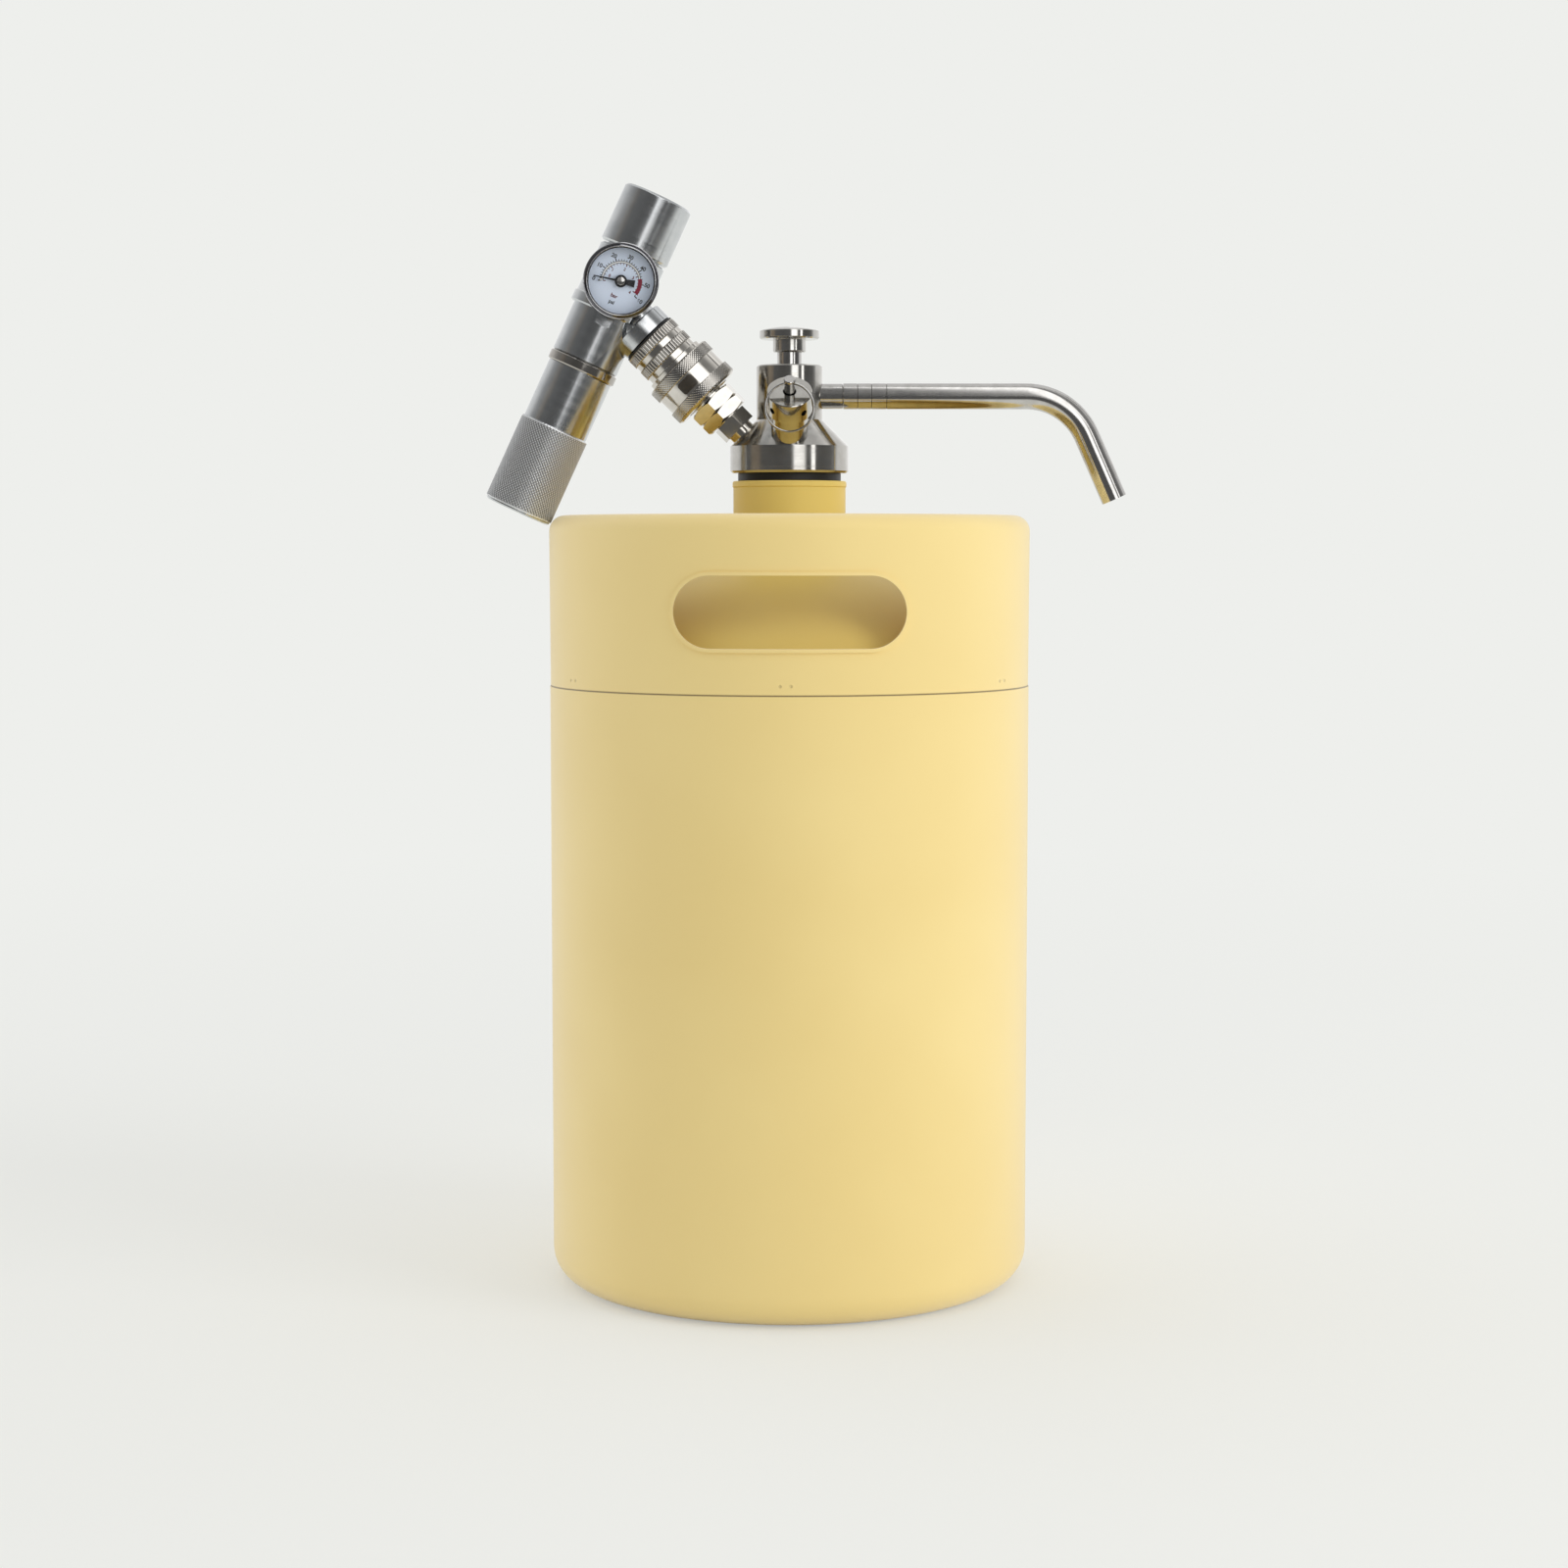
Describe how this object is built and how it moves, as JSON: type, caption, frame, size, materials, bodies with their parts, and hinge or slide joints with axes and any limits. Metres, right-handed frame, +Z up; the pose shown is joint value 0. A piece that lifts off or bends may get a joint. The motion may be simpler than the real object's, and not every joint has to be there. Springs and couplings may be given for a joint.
{
  "type": "mini keg beer dispenser",
  "caption": "Double-wall mini keg with a handle collar and a tap head: bent spout, push plunger, relief valve with pull ring, and a quick-coupled CO2 cartridge regulator with gauge.",
  "frame": {"origin": "centre of the circle that the keg stands on, at the standing face", "axes": "+Z up the keg, +X the way the spout reaches, -Y the side that the gauge and the relief valve face"},
  "size_m": [0.2349, 0.1776, 0.4028],
  "materials": {
    "yellow_coat": "matte powder coat",
    "vessel_steel": "brushed",
    "turned_steel": "finely turned and brushed",
    "polished_steel": "polished",
    "nickel_plate": "nickel plated",
    "satin_aluminium": "satin anodised",
    "dark_anodised": "dark anodised",
    "spring_steel": "drawn wire",
    "black_rubber": "matte moulded",
    "white_plastic": "moulded",
    "black_plastic": "matte",
    "brass": "drawn tube",
    "dial_white": "printed",
    "pointer_black": "matte enamel",
    "clear_lens": "clear",
    "cartridge_steel": "zinc plated"
  },
  "bodies": {
    "keg": {"outer_shell": "yellow_coat", "base_plate": "vessel_steel", "vacuum_seal_cap": "black_plastic", "shoulder": "yellow_coat", "inner_vessel": "vessel_steel", "collar": "yellow_coat", "neck": "yellow_coat"},
    "gasket": {"head_gasket": "black_rubber"},
    "head": {"head_body": "turned_steel", "tube_holder": "white_plastic", "dip_tube": "polished_steel", "valve_seat": "white_plastic", "stem_seals": "black_rubber", "outlet_stub": "polished_steel", "relief_body": "nickel_plate", "relief_cap": "nickel_plate", "relief_spring": "spring_steel", "gas_post": "nickel_plate", "gas_nut": "nickel_plate", "plug_nipple": "nickel_plate", "plunger_spring": "spring_steel"},
    "plunger": {"plunger_stem": "polished_steel", "plunger_knob": "polished_steel", "valve_plug": "black_rubber"},
    "spout": {"spout_tube": "polished_steel"},
    "relief_valve": {"relief_pin": "polished_steel", "relief_seal": "black_rubber"},
    "relief_ring": {"pull_ring": "polished_steel"},
    "regulator": {"coupler_body": "nickel_plate", "coupler_balls": "polished_steel", "coupler_seal": "black_rubber", "stop_ring": "spring_steel", "coupler_spring": "spring_steel", "coupler_tail": "nickel_plate", "boss_seal": "black_rubber", "regulator_body": "satin_aluminium", "end_ring": "dark_anodised", "regulator_spring": "spring_steel", "cartridge_seal": "black_rubber", "pierce_pin": "polished_steel", "gauge_stem": "nickel_plate", "gauge_case": "black_plastic", "gauge_bezel": "polished_steel", "gauge_lens": "clear_lens", "gauge_dial": "dial_white", "bourdon_tube": "brass"},
    "release_sleeve": {"coupler_sleeve": "nickel_plate"},
    "needle": {"gauge_pointer": "pointer_black"},
    "piston": {"regulator_piston": "brass", "piston_seal": "black_rubber", "regulator_poppet": "brass"},
    "spring_feed": {"spring_disc": "brass"},
    "pressure_knob": {"adjusting_knob": "satin_aluminium", "adjusting_screw": "brass"},
    "cartridge": {"co2_cartridge": "cartridge_steel"},
    "cartridge_holder": {"cartridge_sleeve": "satin_aluminium"}
  },
  "joints": [
    {"name": "head_lift", "type": "slide", "parent": "keg", "child": "gasket", "axis": [0, 0, 1], "range_m": [0, 0.3]},
    {"name": "head_turn", "type": "hinge", "parent": "gasket", "child": "head", "pos_m": [0, 0, 0.2977], "axis": [0, 0, 1], "range_deg": [0, 900]},
    {"name": "plunger_press", "type": "slide", "parent": "head", "child": "plunger", "axis": [0, 0, -1], "range_m": [0, 0.004], "stiffness_N_per_m": 600, "springref_m": -0.003, "deforming": ["plunger_spring"]},
    {"name": "spout_swivel", "type": "hinge", "parent": "head", "child": "spout", "pos_m": [0.0245, 0, 0.3258], "axis": [1, 0, 0], "continuous": true},
    {"name": "relief_pull", "type": "slide", "parent": "head", "child": "relief_valve", "axis": [0, -0.7071, 0.7071], "range_m": [0, 0.0025], "stiffness_N_per_m": 1500, "springref_m": -0.002, "deforming": ["relief_spring"]},
    {"name": "ring_swing", "type": "hinge", "parent": "relief_valve", "child": "relief_ring", "pos_m": [0, -0.0334, 0.3288], "axis": [-1, 0, 0], "range_deg": [0, 258]},
    {"name": "regulator_swivel", "type": "hinge", "parent": "head", "child": "regulator", "pos_m": [-0.03672, 0, 0.33212], "axis": [-0.7071, 0, 0.7071], "continuous": true},
    {"name": "coupler_release", "type": "slide", "parent": "regulator", "child": "release_sleeve", "axis": [-0.7071, 0, 0.7071], "range_m": [0, 0.0025], "stiffness_N_per_m": 2500, "springref_m": -0.002, "deforming": ["coupler_spring"]},
    {"name": "needle_sweep", "type": "hinge", "parent": "regulator", "child": "needle", "pos_m": [-0.06045, -0.02034, 0.36579], "axis": [-0.0713, 0.9969, 0.0328], "range_deg": [0, 215]},
    {"name": "piston_rise", "type": "slide", "parent": "regulator", "child": "piston", "axis": [0.4187, 0, 0.9081], "range_m": [0, 0.0006], "stiffness_N_per_m": 3000, "springref_m": -0.002},
    {"name": "knob_feed", "type": "slide", "parent": "regulator", "child": "spring_feed", "axis": [0.4187, 0, 0.9081], "range_m": [0, 0.002], "deforming": ["regulator_spring"]},
    {"name": "pressure_adjust", "type": "hinge", "parent": "spring_feed", "child": "pressure_knob", "pos_m": [-0.05224, 0, 0.38744], "axis": [0.4187, 0, 0.9081], "range_deg": [0, 720]},
    {"name": "cartridge_out", "type": "slide", "parent": "regulator", "child": "cartridge", "axis": [-0.4187, 0, -0.9081], "range_m": [0, 0.08]},
    {"name": "holder_turn", "type": "hinge", "parent": "cartridge", "child": "cartridge_holder", "pos_m": [-0.08573, 0, 0.31479], "axis": [0.4187, 0, 0.9081], "range_deg": [0, 2160]}
  ],
  "couplings": [
    {"joint": "knob_feed", "follows": "pressure_adjust", "m_per_rad": 0.00015915}
  ]
}
